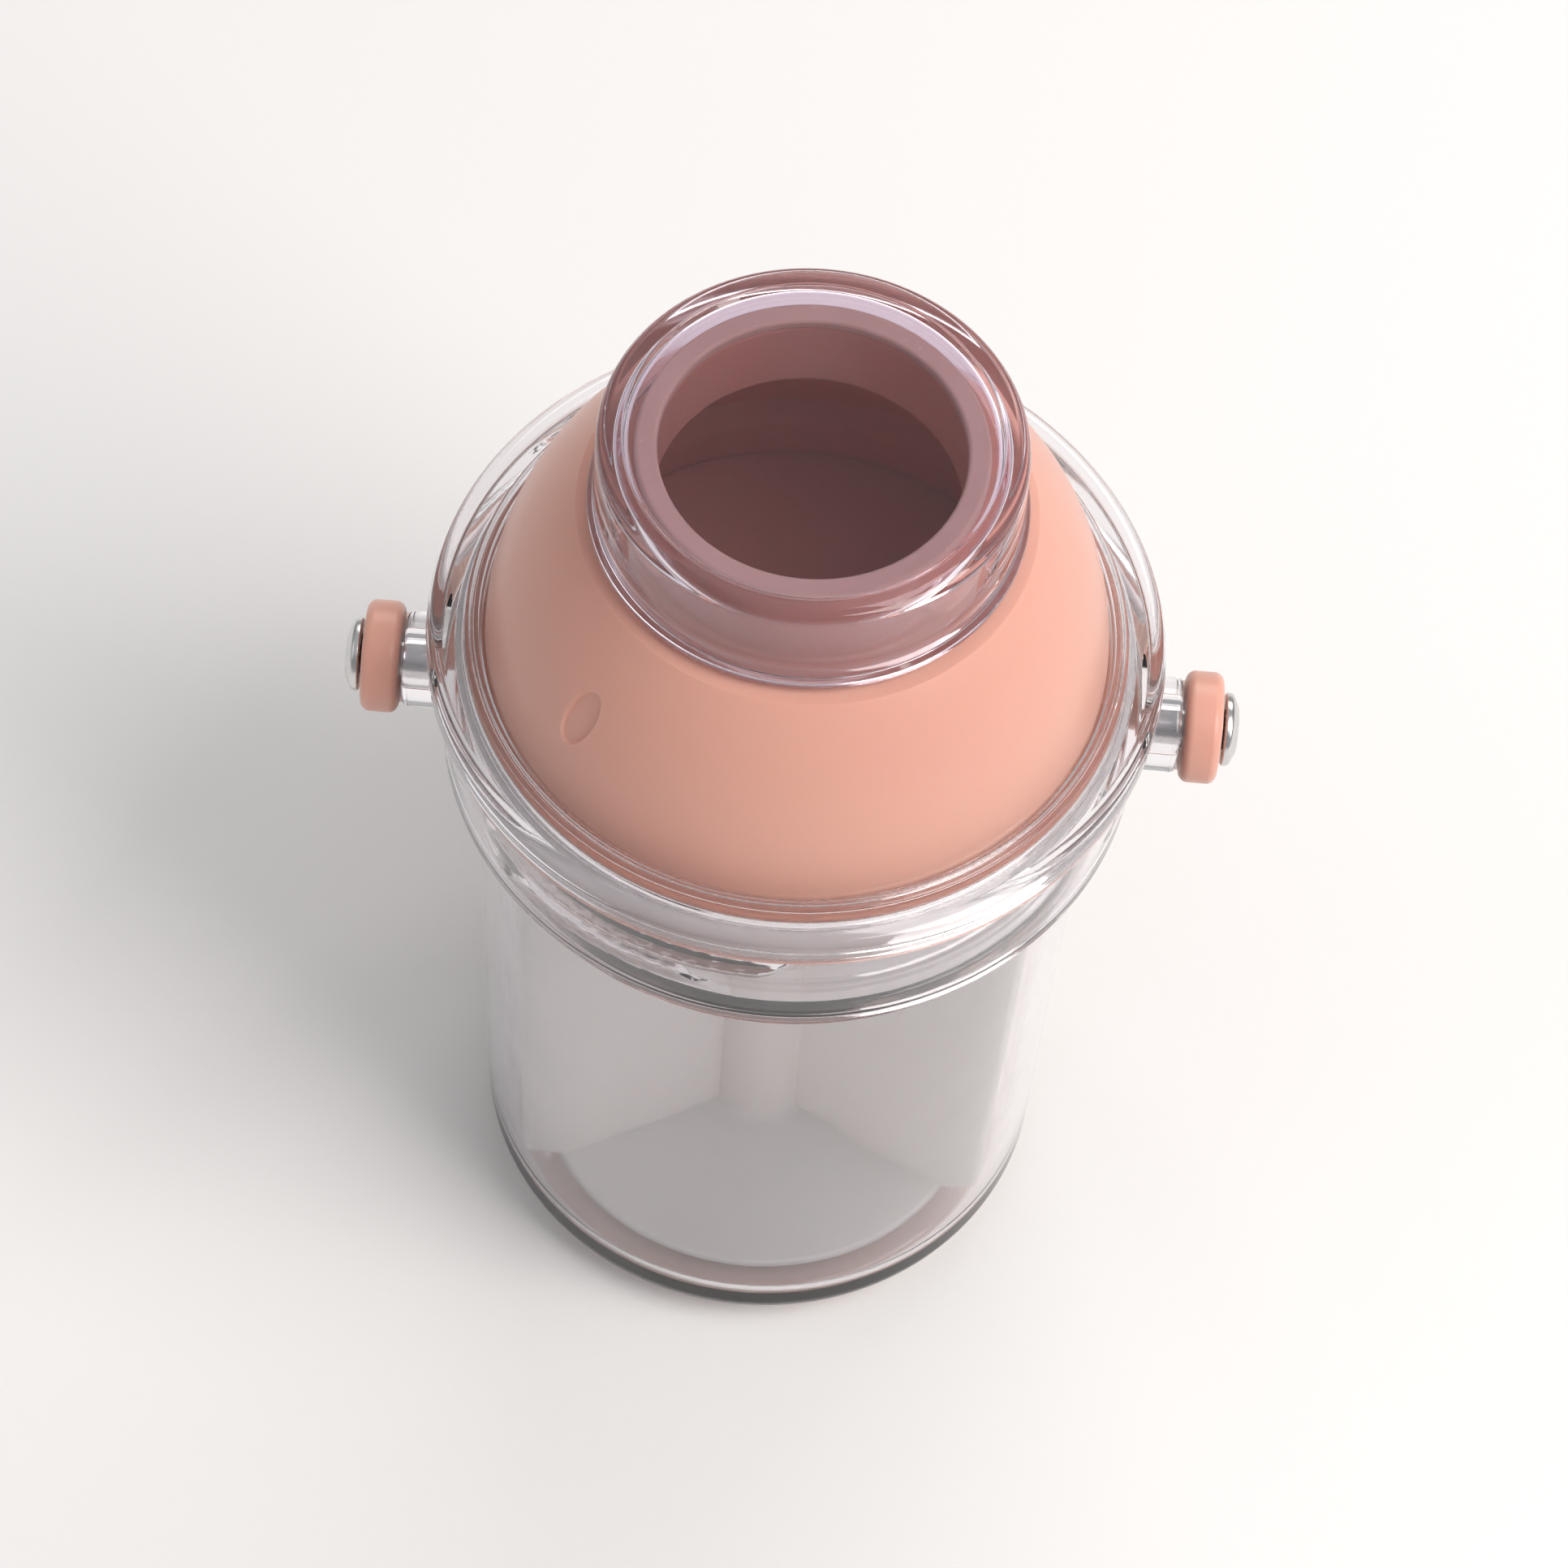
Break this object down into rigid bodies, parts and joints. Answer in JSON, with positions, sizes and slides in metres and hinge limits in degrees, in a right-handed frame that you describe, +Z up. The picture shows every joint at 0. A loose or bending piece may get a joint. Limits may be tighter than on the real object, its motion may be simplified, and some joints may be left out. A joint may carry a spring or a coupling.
{
  "type": "baby formula dispenser",
  "caption": "Round travel dispenser for baby formula: clear divided cup, turning peach funnel lid under a clear screw collar, clear screw cap and swinging bail handle.",
  "frame": {"origin": "on the surface it stands on, at the centre of the cup's foot pad", "axes": "+Z up along the cup's axis, -Y the front, the handle's pivots along X"},
  "size_m": [0.086, 0.0798, 0.1204],
  "materials": {
    "clear": "clear polished moulding",
    "peach": "satin moulded, faintly translucent",
    "pale": "fine satin",
    "silicone": "matte silicone",
    "steel": "polished stainless"
  },
  "bodies": {
    "base": {"foot_pad": "silicone", "cup": "clear", "divider": "pale"},
    "lid_ring": {"lid_seal": "silicone"},
    "lid": {"funnel_lid": "peach", "selector_disc": "peach", "disc_seal": "silicone", "hub_pin": "pale"},
    "collar": {"collar": "clear", "snap_ring": "pale", "left_pin": "steel", "right_pin": "steel"},
    "handle": {"handle": "peach", "handle_grip": "silicone"},
    "cap_ring": {"cap_seal": "silicone"},
    "cap": {"spout_cap": "clear"}
  },
  "joints": [
    {"name": "lid_lift", "type": "slide", "parent": "base", "child": "lid_ring", "axis": [0, 0, 1], "range_m": [0, 0.004]},
    {"name": "selector_turn", "type": "hinge", "parent": "lid_ring", "child": "lid", "pos_m": [0, 0, 0.0852], "axis": [0, 0, 1], "continuous": true},
    {"name": "collar_turn", "type": "hinge", "parent": "lid_ring", "child": "collar", "pos_m": [0, 0, 0.08], "axis": [0, 0, 1], "range_deg": [0, 119]},
    {"name": "handle_swing", "type": "hinge", "parent": "collar", "child": "handle", "pos_m": [0, 0, 0.0782], "axis": [1, 0, 0], "range_deg": [0, 294]},
    {"name": "cap_lift", "type": "slide", "parent": "lid", "child": "cap_ring", "axis": [0, 0, 1], "range_m": [0, 0.004]},
    {"name": "cap_turn", "type": "hinge", "parent": "cap_ring", "child": "cap", "pos_m": [0, 0, 0.11], "axis": [0, 0, 1], "range_deg": [0, 179]}
  ],
  "couplings": [
    {"joint": "lid_lift", "follows": "collar_turn", "m_per_rad": 0.0019099},
    {"joint": "cap_lift", "follows": "cap_turn", "m_per_rad": 0.0012732}
  ]
}
